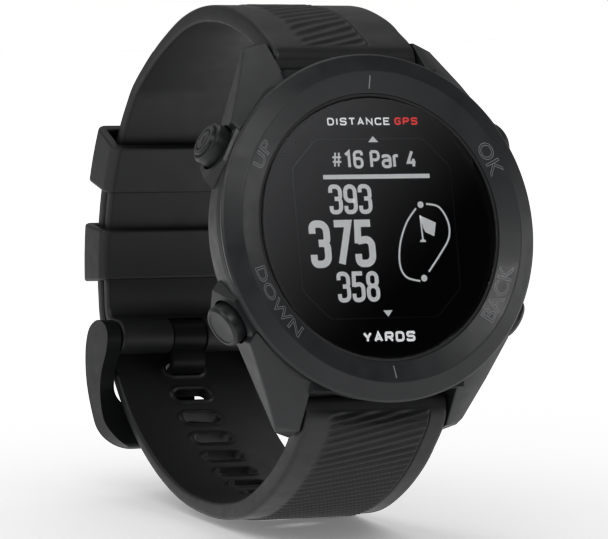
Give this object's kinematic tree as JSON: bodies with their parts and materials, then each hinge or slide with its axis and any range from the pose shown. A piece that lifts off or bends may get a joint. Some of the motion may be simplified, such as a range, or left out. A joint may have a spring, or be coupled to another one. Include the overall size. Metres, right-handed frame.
{
  "type": "golf gps watch",
  "caption": "Round black golf GPS watch, closed on its silicone strap: ridged bezel, glass lens, side push buttons, faceted lugs, slotted strap, keepers and tongue buckle.",
  "frame": {"origin": "centre of the flat case back, on the dial axis", "axes": "+Z towards 12 o'clock, +X towards 3 o'clock, -Y out of the dial, +Y from the case back into the wrist loop"},
  "size_m": [0.0442, 0.0645, 0.0658],
  "materials": {
    "case_polymer": "fine-grained black fibre-reinforced polymer",
    "bezel_polymer": "satin black polymer bezel with engraved labels",
    "lens_glass": "glossy dark chemically strengthened glass",
    "display": "dark memory-in-pixel panel",
    "seal_rubber": "black sealing rubber",
    "strap_silicone": "soft-touch black silicone with fine diagonal ribs",
    "button_cap": "satin black button cap",
    "buckle_polymer": "smooth black buckle with soft highlights",
    "steel": "stainless steel",
    "gold_contact": "gold-plated contact",
    "board": "green circuit board",
    "flex": "amber polyimide ribbon",
    "foil": "stamped can and pouch foil",
    "inner_plastic": "dark moulded inner plastic"
  },
  "bodies": {
    "watch": {"case_body": "case_polymer", "rear_cover": "case_polymer", "bezel_ring": "bezel_polymer", "lens": "lens_glass", "display_panel": "display", "lens_gasket": "seal_rubber", "rear_gasket": "seal_rubber", "battery_pad": "seal_rubber", "display_holder": "inner_plastic", "display_flex": "flex", "main_board": "board", "shield_can": "foil", "battery": "foil", "gps_antenna": "gold_contact", "case_screw_1": "steel", "charging_contact_1": "gold_contact", "case_screw_2": "steel", "charging_contact_2": "gold_contact", "case_screw_3": "steel", "charging_contact_3": "gold_contact", "case_screw_4": "steel", "charging_contact_4": "gold_contact", "up_button_seal": "seal_rubber", "up_switch": "inner_plastic", "ok_button_seal": "seal_rubber", "ok_switch": "inner_plastic", "down_button_seal": "seal_rubber", "down_switch": "inner_plastic", "back_button_seal": "seal_rubber", "back_switch": "inner_plastic", "upper_strap": "strap_silicone", "lower_strap": "strap_silicone", "upper_spring_bar": "steel", "lower_spring_bar": "steel"},
    "up_button_assembly": {"up_button": "button_cap", "up_button_clip": "steel"},
    "ok_button_assembly": {"ok_button": "button_cap", "ok_button_clip": "steel"},
    "down_button_assembly": {"down_button": "button_cap", "down_button_clip": "steel"},
    "back_button_assembly": {"back_button": "button_cap", "back_button_clip": "steel"},
    "upper_release": {"upper_release_pin": "steel"},
    "lower_release": {"lower_release_pin": "steel"},
    "upper_keeper_loop": {"upper_keeper": "strap_silicone"},
    "lower_keeper_loop": {"lower_keeper": "strap_silicone"},
    "buckle": {"buckle_frame": "buckle_polymer", "buckle_bar": "steel"},
    "tongue": {"buckle_tongue": "buckle_polymer"}
  },
  "joints": [
    {"name": "up_button_press", "type": "slide", "parent": "watch", "child": "up_button_assembly", "axis": [0.866, 0, -0.5], "range_m": [0, 0.0006], "stiffness_N_per_m": 3000, "springref_m": -0.0002},
    {"name": "ok_button_press", "type": "slide", "parent": "watch", "child": "ok_button_assembly", "axis": [-0.866, 0, -0.5], "range_m": [0, 0.0006], "stiffness_N_per_m": 3000, "springref_m": -0.0002},
    {"name": "down_button_press", "type": "slide", "parent": "watch", "child": "down_button_assembly", "axis": [0.8746, 0, 0.4848], "range_m": [0, 0.0006], "stiffness_N_per_m": 3000, "springref_m": -0.0002},
    {"name": "back_button_press", "type": "slide", "parent": "watch", "child": "back_button_assembly", "axis": [-0.8746, 0, 0.4848], "range_m": [0, 0.0006], "stiffness_N_per_m": 3000, "springref_m": -0.0002},
    {"name": "upper_release_slide", "type": "slide", "parent": "watch", "child": "upper_release", "axis": [-1, 0, 0], "range_m": [0, 0.0013], "stiffness_N_per_m": 1200, "springref_m": -0.0006},
    {"name": "lower_release_slide", "type": "slide", "parent": "watch", "child": "lower_release", "axis": [-1, 0, 0], "range_m": [0, 0.0013], "stiffness_N_per_m": 1200, "springref_m": -0.0006},
    {"name": "lower_keeper_slide", "type": "hinge", "parent": "watch", "child": "lower_keeper_loop", "pos_m": [0, 0.0148, -0.0018], "axis": [1, 0, 0], "range_deg": [-3, 4]},
    {"name": "upper_keeper_slide", "type": "hinge", "parent": "watch", "child": "upper_keeper_loop", "pos_m": [0, 0.0148, -0.0018], "axis": [1, 0, 0], "range_deg": [-4, 12]},
    {"name": "buckle_pivot", "type": "hinge", "parent": "watch", "child": "buckle", "pos_m": [0, 0.0468, -0.0057], "axis": [1, 0, 0], "range_deg": [0, 4]},
    {"name": "tongue_pivot", "type": "hinge", "parent": "buckle", "child": "tongue", "pos_m": [0, 0.0468, -0.0057], "axis": [1, 0, 0], "range_deg": [0, 4]}
  ]
}
